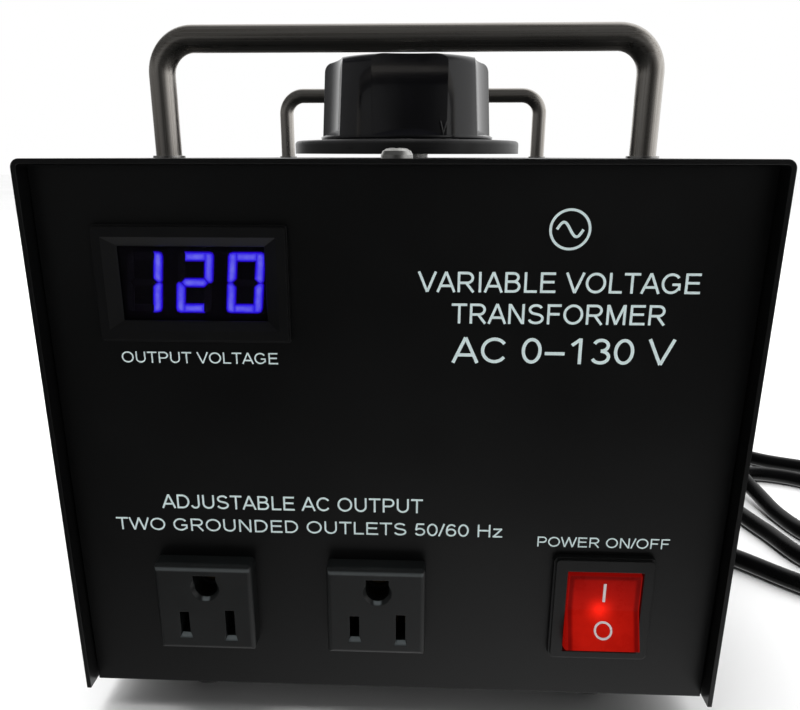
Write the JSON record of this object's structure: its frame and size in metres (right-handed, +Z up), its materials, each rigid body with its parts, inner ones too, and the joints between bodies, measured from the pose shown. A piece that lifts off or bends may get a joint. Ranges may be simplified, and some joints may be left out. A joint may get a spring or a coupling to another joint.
{
  "type": "bench variable transformer",
  "caption": "Black steel bench variable transformer with a fluted top dial, carrying handles, digital meter, outlets, lighted rocker switch and a tied mains cord.",
  "frame": {"origin": "centre of the footprint of the case and what is on it, at the level of the feet, leaving the cord out", "axes": "+Z up, front panel faces -Y, +X to the right of someone facing the front"},
  "size_m": [0.3545, 0.4343, 0.1976],
  "materials": {
    "case_paint": "fine satin powder coat, charcoal black",
    "zinc_screw": "bright zinc plated",
    "black_screw": "black oxide",
    "foot_rubber": "moulded rubber",
    "handle_steel": "brushed stainless steel",
    "dial_black": "satin black plate with pale figures",
    "brass": "plain brass",
    "knob_black": "polished moulded phenolic",
    "shaft_steel": "ground steel",
    "cast_aluminium": "as cast",
    "core_steel": "varnished electrical steel",
    "copper_wire": "enamelled copper winding",
    "insulation_board": "pressed insulating board",
    "phenolic": "laminated phenolic",
    "carbon": "carbon graphite",
    "bobbin_nylon": "natural nylon",
    "winding_tape": "polyester tape over the winding",
    "bezel_plastic": "fine textured plastic",
    "window_smoke": "smoked window",
    "led_blue": "lit blue segments",
    "outlet_plastic": "black moulded nylon",
    "rocker_red": "translucent red, lit from behind",
    "mark_white": "white moulded marks",
    "button_white": "white moulded plastic",
    "wire_black": "black wire insulation",
    "wire_white": "white wire insulation",
    "wire_green": "green wire insulation",
    "cord_black": "soft black cord jacket",
    "tie_black": "woven hook-and-loop strap"
  },
  "bodies": {
    "case": {"chassis": "case_paint", "cover": "case_paint", "cover_screws": "zinc_screw", "side_screws": "black_screw", "feet": "foot_rubber", "foot_screws": "zinc_screw", "front_handle": "handle_steel", "rear_handle": "handle_steel", "handle_collars": "handle_steel", "handle_screws": "zinc_screw", "dial_plate": "dial_black", "shaft_bushing": "brass", "bushing_nuts": "zinc_screw", "variac_base": "cast_aluminium", "variac_bolts": "zinc_screw", "variac_core": "core_steel", "variac_winding": "copper_wire", "variac_washers": "insulation_board", "top_clamp": "phenolic", "clamp_bolts": "zinc_screw", "stop_post": "shaft_steel", "tap_board": "phenolic", "iso_core": "core_steel", "iso_bobbin": "bobbin_nylon", "iso_winding": "winding_tape", "iso_brackets": "zinc_screw", "iso_bolts": "zinc_screw", "meter_bezel": "bezel_plastic", "meter_body": "bezel_plastic", "meter_window": "window_smoke", "meter_digits": "led_blue", "outlet_left": "outlet_plastic", "outlet_right": "outlet_plastic", "outlet_contacts": "brass", "switch_housing": "bezel_plastic", "switch_tabs": "brass", "breaker_body": "bezel_plastic", "breaker_nut": "zinc_screw", "ground_stud": "brass", "wires_live": "wire_black", "wires_neutral": "wire_white", "wires_ground": "wire_green", "strain_relief": "cord_black", "mains_cord_lead": "cord_black", "cord_hank": "cord_black", "cord_tie": "tie_black", "mains_cord_tail": "cord_black", "plug_body": "cord_black", "plug_blades": "brass"},
    "brush_drive": {"knob": "knob_black", "knob_screw": "black_screw", "shaft": "shaft_steel", "brush_arm": "cast_aluminium", "brush_holder": "brass", "carbon_brush": "carbon", "brush_spring": "shaft_steel"},
    "rocker_body": {"rocker": "rocker_red", "rocker_marks": "mark_white"},
    "reset_body": {"breaker_button": "button_white"}
  },
  "joints": [
    {"name": "voltage_dial", "type": "hinge", "parent": "case", "child": "brush_drive", "pos_m": [0, -0.048, 0.1005], "axis": [0, 0, 1], "range_deg": [-24.6, 295.4]},
    {"name": "power_rocker", "type": "hinge", "parent": "case", "child": "rocker_body", "pos_m": [0.057, -0.164, 0.0389], "axis": [1, 0, 0], "range_deg": [0, 22]},
    {"name": "breaker_reset", "type": "slide", "parent": "case", "child": "reset_body", "axis": [0, 1, 0], "range_m": [0, 0.003]}
  ]
}
